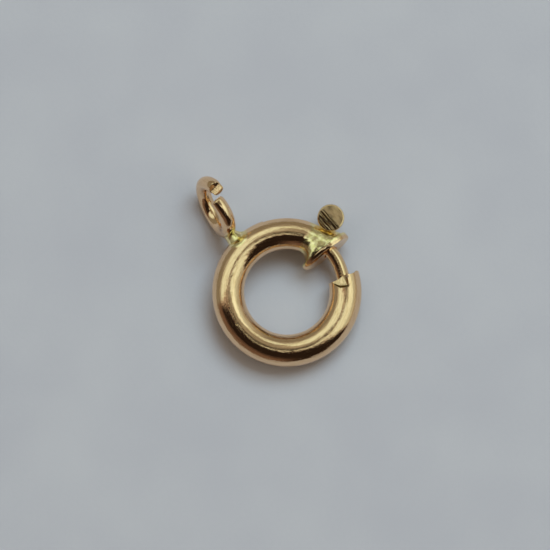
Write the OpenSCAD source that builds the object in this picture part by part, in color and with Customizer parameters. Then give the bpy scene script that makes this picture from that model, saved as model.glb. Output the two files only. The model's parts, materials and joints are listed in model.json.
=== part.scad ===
/* [Ring tube] */
// Outer diameter of the ring across the tube
ring_outer_d = 10; // [8:0.5:14]
// Diameter of the hollow tube that the ring is bent from
tube_d = 2.16; // [1.9:0.02:2.3]
// Thickness of the tube's wall
tube_wall = 0.25; // [0.2:0.01:0.3]
// Angle round the ring where the tube's open mouth is cut, counted from +X towards the loop
mouth_angle = -25.4; // [-30:0.2:-20]
// Turn of the mouth's cut away from the radius, its outer side reaching further into the gap
mouth_slant = 9; // [0:1:15]
// Angle where the wall that the spring pushes on stands inside the tube
stop_angle = 162; // [150:1:200]
// Thickness of that wall, as an angle round the ring
stop_span = 7; // [4:1:12]

/* [Crimp in the mouth] */
// Depth of the dent pressed into the top of the tube, at the crease behind the mouth
dent_depth = 0.2; // [0.1:0.02:0.24]
// Distance of the dent's crease behind the mouth, as an angle round the ring
dent_setback = 8; // [6:0.5:10]
// Turn of the crease away from the radius, its outer end further from the mouth
dent_turn = 4; // [0:1:10]
// Slope of the crease, which falls towards the ring's centre
crease_slope = 5; // [0:1:10]
// Slope of the dent's floor, which falls from the crease to the mouth
dent_floor_slope = 15; // [8:1:16]
// Slope of the dent's steep side, behind the crease
dent_back_slope = 50; // [40:5:70]
// How far the dent reaches past the middle of the tube
dent_reach = 0.12; // [0:0.02:0.3]

/* [Guard plate] */
// Angle round the ring of the plate's middle
plate_angle = 6.1; // [3:0.1:9]
// Distance of the plate's middle from the ring's centre
plate_r = 3.72; // [3.6:0.02:3.9]
// Long side of the oval plate, across the tube
plate_long = 3.66; // [3:0.02:4]
// Short side of the oval plate, along the ring's axis
plate_short = 2.5; // [2.3:0.02:2.8]
// Thickness of the plate
plate_thick = 0.4; // [0.3:0.02:0.5]
// Turn of the plate's long side away from the radius, its inner end drawn back from the gap
plate_slant = 6.6; // [0:0.2:10]
// Lean of the plate's upper edge away from the gap
plate_lean = 12; // [0:1:15]
// Angle round the ring where the flared collar behind the plate meets the tube
flare_end = 33; // [28:1:38]

/* [Bolt] */
// Diameter of the sliding wire
bolt_d = 0.9; // [0.7:0.02:1]
// Angle of the wire's tip, inside the mouth
bolt_tip = -35; // [-37:1:-33]
// Angle where the wire ends in its wider heel
bolt_heel = 32; // [30:1:36]
// Diameter of the heel that the spring pushes on
heel_d = 1.42; // [1.2:0.02:1.5]
// How far the bolt slides back, as an angle round the ring
bolt_travel = 44; // [30:1:46]

/* [Trigger] */
// Angle round the ring of the trigger at rest
trigger_angle = 19.4; // [18:0.2:21]
// Diameter of the knob's rounded head
knob_d = 1.8; // [1.6:0.02:1.84]
// Diameter of the head's upper end, where it is cut
knob_face_d = 1.62; // [1.4:0.02:1.7]
// Diameter of the knob's stem, below its head
knob_stem_d = 1.34; // [1:0.02:1.4]
// Length of the knob, along the ring's axis
knob_length = 2.1; // [1.6:0.1:2.4]
// Distance of the knob's middle from the ring's centre
knob_r = 5.72; // [5.72:0.01:5.9]
// Lean of the knob's upper end away from the ring
knob_lean = 2; // [0:1:5]
// Diameter of the post between the knob and the bolt
post_d = 0.66; // [0.5:0.02:0.7]
// Slope of the cut across the outer half of the knob's upper end
bright_cut_slope = 8; // [0:1:15]
// Slope of the cut across the inner half of the knob's upper end
dark_cut_slope = 24; // [10:1:35]

/* [Spring] */
// Diameter of the spring's wire
spring_wire_d = 0.2; // [0.14:0.02:0.22]
// Outside diameter of the coils
spring_d = 1.4; // [1.2:0.02:1.44]
// Number of turns
spring_turns = 13; // [8:1:16]

/* [Attachment loop] */
// Diameter of the loop's wire
loop_wire_d = 0.97; // [0.8:0.01:1.1]
// Outside diameter of the loop
loop_outer_d = 4.44; // [4:0.02:4.6]
// Distance of the loop's middle from the ring's centre
loop_r = 7.38; // [7.2:0.02:7.5]
// Direction of the loop's long side, seen along the ring's axis
loop_direction = 76; // [70:1:90]
// Lean of the loop out of the upright plane
loop_lean = 15; // [0:1:20]
// Middle of the cut in the loop's wire, counted from the loop's far end over its upper side
loop_cut_middle = 70.5; // [50:0.5:90]
// How much of the loop the cut takes away, as an angle
loop_cut_span = 23; // [15:1:40]
// Length of the loop's upper end that is bent sideways, away from the ring's middle, as an angle
loop_bent_arc = 92; // [70:1:110]
// Sideways bend of that end
loop_bend = 9; // [0:1:12]
// Width of the solder at the loop's foot, where it runs out on the tube
solder_d = 1.7; // [1.4:0.1:1.8]
// Angle round the ring of the loop's foot
solder_angle = 93; // [88:1:98]

/* [Fit] */
// Clearance round the bolt in the guard plate
bolt_gap = 0.05; // [0.03:0.01:0.08]
// Clearance on each side of the post in its slot
slot_gap = 0.06; // [0.04:0.01:0.1]
// Gap between the post and its hole in the bolt
post_gap = 0.03; // [0.02:0.01:0.05]

/* [Hidden] */
$fn = 96;

mean_r = (ring_outer_d - tube_d) / 2;
bore_d = tube_d - 2 * tube_wall;
// The angle that one millimetre takes up along the tube's centre line
degrees_per_mm = 360 / (2 * PI * mean_r);

// The tube starts inside the plate, and runs past the mouth to be cut off there
tube_start = plate_angle + 2;
tube_end = 360 + mouth_angle + 14;
// The plate's hole starts in front of the plate, and the wider hollow starts behind it
hole_d = bolt_d + 2 * bolt_gap;
hole_start = plate_angle - 10;
hollow_start = plate_angle + 5;

// Under the dent the tube's wall keeps this share of its thickness
dent_wall_share = 0.85;

// The bolt's heel takes up this angle, and its thinner nose stands out of the tip by the other one
heel_span = 2.5;
nose_span = 1.5;
nose_d = 0.75 * bolt_d;
// Height of the knob's middle over the ring's plane, and the turn of its ridge from the radius
knob_middle = 0.1;
knob_ridge = -106;
// Heights on the head below the knob's upper end: where its stem widens, and its widest part
head_neck = 0.85;
head_low = 0.5;
head_high = 0.44;
head_shoulder = 0.3;
half_post_span = degrees_per_mm * post_d / 2;
// The slot runs on past the post by this angle at both ends of its travel
slot_end_gap = 0.6;
slot_w = post_d + 2 * slot_gap;
slot_start = trigger_angle - half_post_span - slot_end_gap;
slot_end = trigger_angle + bolt_travel + half_post_span + slot_end_gap;

loop_ring_r = (loop_outer_d - loop_wire_d) / 2;
solder_foot_r = ring_outer_d / 2 - tube_d / 4;
solder_rise = 1.1;

plate_sides = 48;
flare_sides = 32;
flare_rings = 9;
// A larger power draws the collar in faster behind the plate
flare_curve = 2.2;
// The collar's edge lies this far inside the plate's edge and the tube's surface
flare_inset = 0.03;

spring_steps = 11;
spring_sides = 6;
// The coil stands clear of the heel and the stop by half its wire and this gap
spring_end_gap = 0.03;
spring_inset = degrees_per_mm * (spring_wire_d / 2 + spring_end_gap);
spring_from = bolt_heel + heel_span / 2 + spring_inset;
spring_to = stop_angle - stop_span / 2 - spring_inset;

function on_ring(r, angle, z = 0) = [r * cos(angle), r * sin(angle), z];
function across(angle) = [cos(angle), sin(angle), 0];
function unit(v) = v / norm(v);

// The clasp lies on the tube opposite the loop and on the loop's lowest point. Both reach down
// equally far when the ring is turned up by this angle, found by repeating one step a few times.
function loop_reach(turn) =
    let (down = [0, -sin(turn), -cos(turn)])
    let (side = across(loop_direction))
    let (up = [0, 0, cos(loop_lean)] - across(loop_direction + 90) * sin(loop_lean))
    loop_ring_r * norm([side * down, up * down]);
function better_turn(turn) = asin((loop_reach(turn) + (loop_wire_d - tube_d) / 2) / (loop_r + mean_r));
function resting_turn(repeats) = repeats == 0 ? 0 : better_turn(resting_turn(repeats - 1));
lie_turn = resting_turn(8);

module as_it_lies() {
    rotate([lie_turn, 0, 0]) children();
}

// Faces of a closed tube through equal rings of points, as triangles
function loft_faces(rings, sides) = concat(
    [[for (k = [sides - 1:-1:0]) k]],
    [for (i = [0:rings - 2], k = [0:sides - 1])
        let (a = i * sides + k, b = i * sides + (k + 1) % sides) [a, b, b + sides]],
    [for (i = [0:rings - 2], k = [0:sides - 1])
        let (a = i * sides + k, b = i * sides + (k + 1) % sides) [a, b + sides, a + sides]],
    [[for (k = [0:sides - 1]) (rings - 1) * sides + k]]
);

module loft(sections) {
    polyhedron(
        points = [for (s = sections) each s],
        faces = loft_faces(len(sections), len(sections[0]))
    );
}

// A round bar bent along the tube's centre line
module bent_bar(d, from_angle, to_angle) {
    rotate_extrude(angle = to_angle - from_angle, start = from_angle)
        translate([mean_r, 0]) circle(d = d);
}

// Places things at an angle of the ring with +X outwards, +Y onwards round the ring and +Z up
module at_ring(r, angle, turn = 0) {
    translate(on_ring(r, angle)) rotate([0, 0, angle + turn]) children();
}

module mouth_cut() {
    at_ring(mean_r, mouth_angle, mouth_slant)
        translate([-tube_d, 0, -tube_d])
            cube([2 * tube_d, tube_d, 2 * tube_d]);
}

// A wedge whose sharp edge is the crease and whose open side is towards the mouth. With a margin it
// lies that much deeper, and reaches that much further.
module dent_wedge(margin = 0) {
    at_ring(mean_r, mouth_angle - dent_setback, -dent_turn)
        translate([0, 0, tube_d / 2 - dent_depth - margin])
            rotate([0, -crease_slope, 0])
                rotate([90, 0, 90])
                    translate([0, 0, dent_reach + margin - tube_d])
                        linear_extrude(height = tube_d)
                            polygon([
                                [0, 0],
                                [tube_d, -tube_d * tan(dent_floor_slope)],
                                [tube_d, tube_d],
                                [-tube_d / tan(dent_back_slope), tube_d]
                            ]);
}

module guard_plate() {
    outline = [for (k = [0:plate_sides - 1])
        [plate_long / 2 * cos(k * 360 / plate_sides), plate_short / 2 * sin(k * 360 / plate_sides)]];
    at_ring(plate_r, plate_angle, -plate_slant)
        rotate([-plate_lean, 0, 0])
            rotate([90, 0, 0])
                linear_extrude(height = plate_thick, center = true) polygon(outline);
}

// One cross-section of the collar: an oval as wide as the plate that shrinks to the tube
function flare_section(step) =
    let (s = step / (flare_rings - 1))
    let (near = pow(1 - s, flare_curve))
    let (angle = plate_angle + (flare_end - plate_angle) * s)
    let (out = across(angle - plate_slant * (1 - s)))
    let (along = across(angle - plate_slant * (1 - s) + 90))
    let (up = [0, 0, cos(plate_lean * (1 - s))] + along * sin(plate_lean * (1 - s)))
    let (half_long = tube_d / 2 - flare_inset + (plate_long - tube_d) / 2 * near)
    let (half_short = tube_d / 2 - flare_inset + (plate_short - tube_d) / 2 * near)
    let (middle = on_ring(mean_r + (plate_r - mean_r) * (1 - s), angle))
    [for (k = [0:flare_sides - 1])
        let (around = k * 360 / flare_sides)
        middle + out * half_long * cos(around) + up * half_short * sin(around)];

module flare() {
    loft([for (step = [0:flare_rings - 1]) flare_section(step)]);
}

module loop_arc(arc) {
    rotate_extrude(angle = arc, start = 0)
        translate([loop_ring_r, 0]) circle(d = loop_wire_d);
}

// From a point near its far end, the loop's wire runs one way in a flat arc, by the foot and up to
// the cut's lower side. The other way it is bent sideways, up to the cut's upper side.
module attachment_loop() {
    bent_from = loop_cut_middle - loop_cut_span / 2 - loop_bent_arc;
    at_ring(loop_r, 90, loop_direction - 90)
        rotate([90 + loop_lean, 0, 0])
            rotate([0, 0, bent_from]) {
                loop_arc(loop_cut_span + loop_bent_arc - 360);
                translate([loop_ring_r, 0, 0])
                    rotate([0, loop_bend, 0])
                        translate([-loop_ring_r, 0, 0])
                            loop_arc(loop_bent_arc);
            }
}

// The solder at the loop's foot, a cone that narrows from the tube to the wire
module loop_solder() {
    at_ring(solder_foot_r, solder_angle)
        rotate([0, 90, 0])
            cylinder(h = solder_rise, d1 = solder_d, d2 = loop_wire_d);
}

module trigger_slot() {
    rotate_extrude(angle = slot_end - slot_start, start = slot_start)
        translate([mean_r + bolt_d / 2, -slot_w / 2]) square([tube_d, slot_w]);
}

module tube_with_mouth() {
    difference() {
        bent_bar(tube_d, tube_start, tube_end);
        mouth_cut();
    }
}

module hollow() {
    bent_bar(bore_d, hollow_start, stop_angle - stop_span / 2);
    difference() {
        bent_bar(bore_d, stop_angle + stop_span / 2, tube_end);
        dent_wedge(dent_wall_share * tube_wall);
    }
}

module ring_body() {
    color("goldenrod") as_it_lies() difference() {
        union() {
            tube_with_mouth();
            guard_plate();
            flare();
            attachment_loop();
            loop_solder();
        }
        hollow();
        bent_bar(hole_d, hole_start, hollow_start + 1);
        trigger_slot();
        dent_wedge();
    }
}

module bolt() {
    color("gold") as_it_lies() difference() {
        union() {
            bent_bar(bolt_d, bolt_tip, bolt_heel);
            bent_bar(heel_d, bolt_heel - heel_span / 2, bolt_heel + heel_span / 2);
            bent_bar(nose_d, bolt_tip - nose_span, bolt_tip + nose_span);
        }
        at_ring(mean_r, trigger_angle) rotate([0, 90, 0]) cylinder(h = bolt_d, d = post_d + 2 * post_gap);
    }
}

// The knob's upper end is cut like a low roof, whose ridge runs towards the gap
module knob_cut() {
    at_ring(knob_r, trigger_angle, knob_ridge)
        translate([0, 0, knob_middle + knob_length / 2])
            rotate([90, 0, 90])
                linear_extrude(height = 2 * knob_d, center = true)
                    polygon([
                        [-knob_d, -knob_d * tan(dark_cut_slope)],
                        [0, 0],
                        [knob_d, -knob_d * tan(bright_cut_slope)],
                        [knob_d, knob_d],
                        [-knob_d, knob_d]
                    ]);
}

// A short stem with a rounded head, before its upper end is cut
module knob_blank() {
    rotate_extrude()
        polygon([
            [0, -knob_length],
            [knob_stem_d / 2, -knob_length],
            [knob_stem_d / 2, -head_neck],
            [knob_d / 2, -head_low],
            [knob_d / 2, -head_high],
            [knob_face_d / 2, -head_shoulder],
            [knob_face_d / 2, 0],
            [0, 0]
        ]);
}

module trigger() {
    color("darkgoldenrod") as_it_lies() difference() {
        union() {
            at_ring(mean_r, trigger_angle) rotate([0, 90, 0]) cylinder(h = knob_r - mean_r, d = post_d);
            at_ring(knob_r, trigger_angle)
                rotate([0, knob_lean, 0])
                    translate([0, 0, knob_middle + knob_length / 2])
                        knob_blank();
        }
        knob_cut();
    }
}

// A point of the coil: it winds round a circle that itself moves round the ring
function coil_angle(t) = spring_from + (spring_to - spring_from) * t;
function coil_out(t) =
    let (turn = 360 * spring_turns * t)
    across(coil_angle(t)) * cos(turn) + [0, 0, sin(turn)];
function coil_point(t) = on_ring(mean_r, coil_angle(t)) + (spring_d - spring_wire_d) / 2 * coil_out(t);

function wire_section(t) =
    let (step = 1 / (spring_turns * spring_steps))
    let (onwards = coil_point(t + step) - coil_point(t - step))
    let (out = coil_out(t))
    let (side = unit(cross(onwards, out)))
    [for (k = [0:spring_sides - 1])
        let (around = out * cos(k * 360 / spring_sides) + side * sin(k * 360 / spring_sides))
        coil_point(t) + spring_wire_d / 2 * around];

module spring() {
    steps = spring_turns * spring_steps;
    color("silver") as_it_lies() loft([for (i = [steps:-1:0]) wire_section(i / steps)]);
}

ring_body();
bolt();
trigger();
spring();
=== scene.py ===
# %% [markdown]
# # A gold spring ring clasp
#
# The clasp is a hollow gold tube bent into a ring. A thin wire bolt slides inside the tube and
# closes a gap in it, a small coil spring pushes the bolt shut, and a knob on the outside draws it
# back. This lesson dresses the clasp's plain solids in the shapes and finishes of the real one.
#
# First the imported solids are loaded. They are the fixed frame: each new piece is put where the
# solid it stands for already is, and moves with the same body.

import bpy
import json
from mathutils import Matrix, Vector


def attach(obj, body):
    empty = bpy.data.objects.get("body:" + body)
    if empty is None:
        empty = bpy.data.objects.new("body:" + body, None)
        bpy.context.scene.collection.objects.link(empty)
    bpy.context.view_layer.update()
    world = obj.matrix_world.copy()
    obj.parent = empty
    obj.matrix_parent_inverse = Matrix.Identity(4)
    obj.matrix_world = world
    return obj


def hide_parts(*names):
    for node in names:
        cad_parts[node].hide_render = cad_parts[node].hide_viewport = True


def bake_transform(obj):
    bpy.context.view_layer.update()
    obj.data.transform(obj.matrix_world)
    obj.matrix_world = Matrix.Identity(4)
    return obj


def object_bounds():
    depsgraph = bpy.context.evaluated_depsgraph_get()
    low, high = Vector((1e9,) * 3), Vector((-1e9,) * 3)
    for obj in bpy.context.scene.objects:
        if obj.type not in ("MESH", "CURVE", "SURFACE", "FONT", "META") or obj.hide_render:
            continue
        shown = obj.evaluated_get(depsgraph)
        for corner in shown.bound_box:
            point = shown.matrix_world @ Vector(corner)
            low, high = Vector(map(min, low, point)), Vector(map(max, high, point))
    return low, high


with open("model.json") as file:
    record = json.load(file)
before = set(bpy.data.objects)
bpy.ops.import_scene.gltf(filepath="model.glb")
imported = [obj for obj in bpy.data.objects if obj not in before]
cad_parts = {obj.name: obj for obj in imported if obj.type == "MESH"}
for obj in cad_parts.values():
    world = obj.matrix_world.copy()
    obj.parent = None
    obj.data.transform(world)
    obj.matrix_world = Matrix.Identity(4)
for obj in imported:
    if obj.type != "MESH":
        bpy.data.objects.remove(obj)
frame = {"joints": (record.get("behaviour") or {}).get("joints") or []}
cad_box = [list(corner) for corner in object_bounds()]

# %% Libraries
import json

import bmesh
import bpy
import numpy as np
from mathutils import Matrix, Vector

MM = 0.001

# %% [markdown]
# ## The ring's own frame
#
# The clasp doesn't lie flat: its end loop stands on edge and holds that side of the ring up. So
# the ring is easiest to describe in a frame of its own, where the tube's centre line is a circle
# in the level plane, and to turn at the end. The bolt's hinge runs along the ring's axis, so its
# direction gives the turn. Sizes are in millimetres, angles in degrees, and angle 90 is where the
# end loop is soldered on.

# %% From the ring's frame to the lying clasp
hinge_axis = np.array(frame["joints"][0]["axis"])
lie_turn = np.arctan2(-hinge_axis[1], hinge_axis[2])
turned = np.array(
    [
        [1, 0, 0],
        [0, np.cos(lie_turn), -np.sin(lie_turn)],
        [0, np.sin(lie_turn), np.cos(lie_turn)],
    ]
)
print("the ring lies tilted by", round(np.degrees(lie_turn), 2), "degrees")


def lying(points):
    """Points of the ring's frame in mm, turned about X as the clasp lies, in metres."""
    return np.asarray(points, float) @ turned.T * MM


def ring_xyz(r, angle, z):
    """The point at distance r from the ring's axis, at an angle round it and a height over its
    plane."""
    turn = np.radians(angle)
    return np.stack(np.broadcast_arrays(r * np.cos(turn), r * np.sin(turn), z), axis=-1)


def across(angle):
    """The level unit vector that points away from the ring's axis at an angle."""
    return ring_xyz(1.0, angle, 0.0)


def smooth(value, low, high):
    """0 at low and before it, 1 at high and past it, with the curve 3t^2 - 2t^3 between them."""
    t = np.clip((value - low) / (high - low), 0, 1)
    return t * t * (3 - 2 * t)


def steps_round(cols):
    """A circle's angles in radians, in so many even steps."""
    return np.arange(cols) * 2 * np.pi / cols


# %% [markdown]
# ## From grids of points to a mesh
#
# Each piece of the clasp is a surface given by a function of two parameters, so its points form a
# grid with rows and columns. Neighbouring points make the corners of four-sided faces. Where a
# row shrinks to one point, as at the tip of a wire, its doubles are merged, and the faces there
# become triangles. The closed mesh then gets its normals pointed outwards.
#
# Drawing lines have to follow the wire, so each piece also gets a map: how far along it a corner
# lies and how far round it, both in millimetres.


# %% Faces between the points of a grid
def grid_faces(rows, cols, rows_close=False):
    """Corner numbers of the faces: point (i, j) has number i * cols + j. The columns go all round,
    and so do the rows where rows_close says it."""
    i = np.arange(rows if rows_close else rows - 1)[:, None]
    j = np.arange(cols)[None, :]
    i2, j2 = (i + 1) % rows, (j + 1) % cols
    return np.stack([i * cols + j, i * cols + j2, i2 * cols + j2, i2 * cols + j], axis=-1)


def around_map(faces, along, around, period):
    """UVs in mm for each face corner. Where a face crosses the seam, its small values go up a
    period."""
    faces = faces.reshape(-1, 4)
    along, around = np.broadcast_arrays(along, around)
    uv = np.stack([along.ravel()[faces], around.ravel()[faces]], axis=-1)
    v = uv[..., 1]
    crosses = np.ptp(v, axis=1)[:, None] > period / 2
    uv[..., 1] = np.where(crosses & (v < period / 2), v + period, v)
    return uv.reshape(-1, 2)


def way_along(line):
    """For each point of a line, the length of the line up to it."""
    return np.cumsum(np.r_[0, np.linalg.norm(np.diff(line, axis=0), axis=1)])


# %% One mesh piece
DOUBLES, SLIVERS = 1e-9, 1e-10


def make_piece(name, points, faces, finish, body, uv=None, marks=None, sharp=40):
    """A closed mesh from grid points in the ring's frame. uv has a row for each face corner, and
    marks gives named values for each point, which the materials read as attributes."""
    mesh = bpy.data.meshes.new(name)
    mesh.from_pydata(lying(points).reshape(-1, 3), [], faces.reshape(-1, 4).tolist())
    if uv is not None:
        mesh.uv_layers.new(name="along_mm").data.foreach_set("uv", uv.ravel())
    for mark, values in (marks or {}).items():
        layer = mesh.attributes.new(mark, "FLOAT", "POINT")
        layer.data.foreach_set("value", np.asarray(values, np.float32).ravel())
    shape = bmesh.new()
    shape.from_mesh(mesh)
    bmesh.ops.remove_doubles(shape, verts=shape.verts, dist=DOUBLES)
    bmesh.ops.dissolve_degenerate(shape, edges=shape.edges, dist=SLIVERS)
    bmesh.ops.recalc_face_normals(shape, faces=shape.faces)
    volume = shape.calc_volume(signed=True) / MM**3
    open_edges = sum(len(e.link_faces) != 2 for e in shape.edges)
    shape.to_mesh(mesh)
    shape.free()
    mesh.shade_smooth()
    mesh.set_sharp_from_angle(angle=np.radians(sharp))
    obj = bpy.data.objects.new(name, mesh)
    bpy.context.scene.collection.objects.link(obj)
    obj.data.materials.append(finish)
    if body:
        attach(obj, body)
    print(f"{name}: {len(mesh.polygons)} faces, {volume:.2f} mm3, {open_edges} open edges")
    return obj


# %% A wire along a path
ROUNDING_STEPS = 7


def tube_along(path, radius, cols, up=(0, 0, 1), round_ends=(0.0, 0.0)):
    """Rows of points round a path, and each row's middle. A row is a circle in the plane square to
    the path. The ends close in to a point, and each has an edge rounded by its share of the radius
    in round_ends."""
    path = np.asarray(path, float)
    radius = np.broadcast_to(radius, len(path)).astype(float)
    onwards = np.gradient(path, axis=0)
    onwards /= np.linalg.norm(onwards, axis=1, keepdims=True)
    side = np.cross(onwards, np.broadcast_to(np.asarray(up, float), path.shape))
    side /= np.linalg.norm(side, axis=1, keepdims=True)
    rise = np.cross(side, onwards)
    bend = np.radians(np.linspace(0, 90, ROUNDING_STEPS)[1:])

    def cap(end, sign, share):
        """The end's rows: a quarter circle round its edge, then half the way in, then the
        middle."""
        cap_r = np.concatenate([1 - share * (1 - np.cos(bend)), [(1 - share) / 2, 0.0]])
        cap_t = np.concatenate([share * np.sin(bend), [share, share]])
        centre = path[end] + sign * onwards[end] * (cap_t * radius[end])[:, None]
        return centre, cap_r * radius[end], np.full(len(cap_r), end)

    c0, r0, e0 = cap(0, -1, round_ends[0])
    c1, r1, e1 = cap(len(path) - 1, 1, round_ends[1])
    centre = np.concatenate([c0[::-1], path, c1])
    size = np.concatenate([r0[::-1], radius, r1])
    which = np.concatenate([e0[::-1], np.arange(len(path)), e1]).astype(int)
    turn = steps_round(cols)[None, :, None]
    spoke = side[which][:, None] * np.cos(turn) + rise[which][:, None] * np.sin(turn)
    return centre[:, None] + spoke * size[:, None, None], centre


# %% [markdown]
# ## Small helpers for node trees
#
# A material or the sky round the scene is a tree of nodes. These helpers add a node and wire its
# inputs in one line, so the trees below read like sums.


# %% Node helpers
def feed(tree, socket, value):
    """Wires another node's socket to an input, or sets the input to a plain value."""
    if isinstance(value, bpy.types.NodeSocket):
        tree.links.new(value, socket)
    else:
        socket.default_value = value


def add(tree, kind, inputs=None, **settings):
    """A node with its settings and its inputs."""
    node = tree.nodes.new(kind)
    for key, value in settings.items():
        setattr(node, key, value)
    for key, value in (inputs or {}).items():
        feed(tree, node.inputs[key], value)
    return node


def calc(tree, operation, *values):
    """Arithmetic from left to right: with "ADD" and three values, it is the sum of the three."""
    ends = dict(enumerate(values[:2]))
    step = add(tree, "ShaderNodeMath", ends, operation=operation).outputs[0]
    return calc(tree, operation, step, *values[2:]) if len(values) > 2 else step


def plus(tree, *values):
    """The sum of the values."""
    return calc(tree, "ADD", *values)


def times(tree, *values):
    """The product of the values."""
    return calc(tree, "MULTIPLY", *values)


def fade(tree, value, low, high, at_low=0.0, at_high=1.0):
    """Goes smoothly from at_low to at_high as value goes from low to high."""
    ends = {"Value": value, "From Min": low, "From Max": high, "To Min": at_low, "To Max": at_high}
    return add(tree, "ShaderNodeMapRange", ends, interpolation_type="SMOOTHSTEP").outputs["Result"]


def noise(tree, vector, scale, detail=2.0, roughness=0.5):
    """Cloudy values round 0.5, with about so many spots to each unit of the vector."""
    ends = {"Vector": vector, "Scale": scale, "Detail": detail, "Roughness": roughness}
    return add(tree, "ShaderNodeTexNoise", ends).outputs[0]


def blend_colours(tree, factor, first, second, mode="MIX"):
    """Mixes two colours by a mask. A Mix node keeps its colour sockets at places 6 and 7."""
    ends = {0: factor, 6: first, 7: second}
    return add(tree, "ShaderNodeMix", ends, data_type="RGBA", blend_type=mode).outputs[2]


# %% [markdown]
# ## What polish and wear do to gold
#
# A drawn and polished tube isn't a perfect mirror. Its surface has fine lines along its length
# from drawing and buffing, a very slight unevenness that makes reflections waver, and a few pits.
# The lines follow the tube, so their pattern is read from the piece's own map, in millimetres
# along and around it. Both groups are used by several finishes, so each is built once.


# %% A group with named sockets
def new_group(name, inputs, outputs):
    """An empty shader group with float or vector sockets and its two end nodes."""
    tree = bpy.data.node_groups.new(name, "ShaderNodeTree")
    for label, kind, value in inputs:
        socket = tree.interface.new_socket(label, in_out="INPUT", socket_type="NodeSocket" + kind)
        if kind == "Float":
            socket.default_value = value
    for label in outputs:
        tree.interface.new_socket(label, in_out="OUTPUT", socket_type="NodeSocketFloat")
    return tree, tree.nodes.new("NodeGroupInput").outputs, tree.nodes.new("NodeGroupOutput").inputs


# %% [markdown]
# Noise makes round spots. Where its vector is squeezed along the piece and stretched across it,
# the spots turn into lines. Fine dense ones are the buffing, a few strong ones are scratches, and
# wide ones are streaks in which the gold shines a little deeper.

# %% Drawing lines and scratches
LINE_LONG, NICKS, STREAKS = 0.35, (1.6, 16.0, 1), (1.1, 6.0, 1)

wear_group, given, made = new_group(
    "fine_wear",
    [("Map", "Vector", None), ("Line spacing", "Float", 0.05)],
    ["Lines", "Scratches", "Height", "Streaks"],
)


def stretched_noise(tree, vector, spots, detail):
    """Noise with so many spots to a millimetre along the piece, and so many around it."""
    ends = {0: vector, 1: spots}
    squeezed = add(tree, "ShaderNodeVectorMath", ends, operation="MULTIPLY").outputs[0]
    return noise(tree, squeezed, 1.0, detail, 0.6)


per_mm = calc(wear_group, "DIVIDE", 1.0, given["Line spacing"])
split = add(wear_group, "ShaderNodeSeparateXYZ", {0: given["Map"]}).outputs
line_ends = {0: times(wear_group, split[0], LINE_LONG), 1: times(wear_group, split[1], per_mm)}
line_map = add(wear_group, "ShaderNodeCombineXYZ", line_ends).outputs[0]
lines = noise(wear_group, line_map, 1.0, 3.0, 0.6)
scratches = fade(wear_group, stretched_noise(wear_group, given["Map"], NICKS, 2.0), 0.60, 0.68)
cuts = times(wear_group, scratches, 0.5)
feed(wear_group, made["Lines"], fade(wear_group, lines, 0.35, 0.7))
feed(wear_group, made["Scratches"], scratches)
feed(wear_group, made["Height"], calc(wear_group, "SUBTRACT", times(wear_group, lines, 0.6), cuts))
feed(wear_group, made["Streaks"], stretched_noise(wear_group, given["Map"], STREAKS, 3.0))
print("group", wear_group.name)

# %% Uneven surface and pits
PIT_SPREAD, PIT_PATCHES = 0.45, 0.3

dimple_group, given, made = new_group(
    "dimples_and_pits", [("Place", "Vector", None), ("Size", "Float", 0.3)], ["Waver", "Pits"]
)
per_m = calc(dimple_group, "DIVIDE", 1 / MM, given["Size"])
cell_ends = {"Vector": given["Place"], "Scale": times(dimple_group, per_m, PIT_SPREAD)}
cells = add(dimple_group, "ShaderNodeTexVoronoi", cell_ends).outputs[0]
sparse = noise(dimple_group, given["Place"], times(dimple_group, per_m, PIT_PATCHES))
pits = times(
    dimple_group, fade(dimple_group, cells, 0.09, 0.04), fade(dimple_group, sparse, 0.55, 0.62)
)
feed(dimple_group, made["Waver"], noise(dimple_group, given["Place"], per_m))
feed(dimple_group, made["Pits"], pits)
print("group", dimple_group.name)

# %% [markdown]
# ## The gold finishes
#
# Nine carat gold is paler than pure gold, with a slight pink in it. A metal takes its colour from
# its reflection alone, so Metallic is 1 and Base Color is the tint of the mirror image. Solder has
# more silver and zinc in it and sets greener, rougher and a little lumpy. One material serves the
# whole ring: the mark "solder" that the mesh carries says where the solder has flowed, and noise
# frays its edge. A second mark says where shade is painted dark into the dent, and where polishing
# paste has dried in the corner of the seam behind the plate's rim.

# %% Solder, painted shade and dirt: heights are in millimetres
LUMPS_TO_M, LUMP_HIGH = 1600.0, 0.07
PATCHES_TO_M, PATCH_HIGH = 4200.0, 0.008
SOLDER_ROUGH, SHADE_AND_DIRT_ROUGH = 0.09, 0.25
# the second mark's dark tint: painted shade in the dent, dried paste in the seam behind the plate
SHADE_AND_DIRT_COLOUR = (0.16, 0.11, 0.03, 1)


def frayed(tree, mark, values, wide):
    """A mark of the mesh whose edge is moved to and fro by noise, up to half of wide."""
    fac = add(tree, "ShaderNodeAttribute", attribute_name=mark).outputs["Fac"]
    return plus(tree, fac, times(tree, calc(tree, "SUBTRACT", values, 0.5), wide))


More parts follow.
